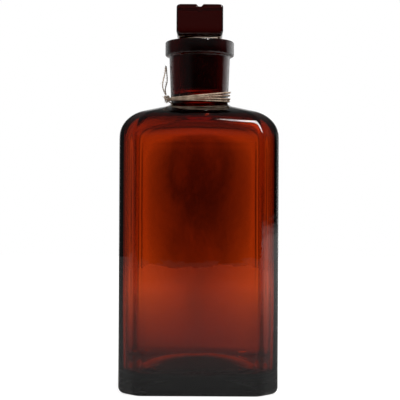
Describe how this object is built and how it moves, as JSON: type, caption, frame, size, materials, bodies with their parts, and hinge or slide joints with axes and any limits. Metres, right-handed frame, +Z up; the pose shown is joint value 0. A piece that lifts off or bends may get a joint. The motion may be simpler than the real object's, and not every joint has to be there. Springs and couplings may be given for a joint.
{
  "type": "square glass bottle",
  "caption": "Square amber glass bottle with cut corners, a round neck and lip, a notched ground glass stopper and twine tied at the neck.",
  "frame": {"origin": "centre of the underside, on the surface the bottle stands on", "axes": "+Z up along the bottle's axis; -Y towards the front face; +X to the right of it"},
  "size_m": [0.07, 0.07, 0.1738],
  "materials": {
    "bottle_glass": "clear dark amber",
    "stopper_glass": "clear dark amber, ground where it enters the neck",
    "twine": "twisted natural fibre",
    "thread": "twisted pale fibre"
  },
  "bodies": {
    "root": {"bottle": "bottle_glass", "stopper": "stopper_glass", "neck_twine": "twine", "twine_loop": "twine", "stopper_twine": "thread"}
  },
  "joints": []
}
